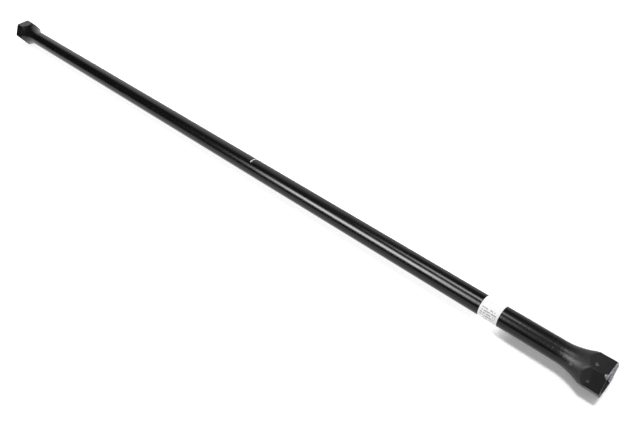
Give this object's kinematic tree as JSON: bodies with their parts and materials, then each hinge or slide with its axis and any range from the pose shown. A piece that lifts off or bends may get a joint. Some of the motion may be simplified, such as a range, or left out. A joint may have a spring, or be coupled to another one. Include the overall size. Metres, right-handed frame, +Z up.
{
  "type": "breaker bar",
  "caption": "Long straight tubular breaker bar with a forged hexagonal head flared out of each end, a hex socket in each mouth and a wrapped label near the front head.",
  "frame": {"origin": "under the middle of the bar, on the surface that the lower flats of both heads rest on", "axes": "+X along the bar to the front head, the one beside the label; +Z up, square to the flats it rests on; +Y across the bar"},
  "size_m": [1.2192, 0.044, 0.0381],
  "materials": {
    "handle_paint": "semi-gloss black enamel",
    "head_paint": "satin black enamel over a forged surface, worn to bare steel at the rim",
    "label_vinyl": null,
    "mark_paint": "thin pale paint, partly worn"
  },
  "bodies": {
    "root": {"handle_tube": "handle_paint", "front_head": "head_paint", "rear_head": "head_paint", "front_weld": "handle_paint", "rear_weld": "handle_paint", "label": "label_vinyl", "centre_mark": "mark_paint"}
  },
  "joints": []
}
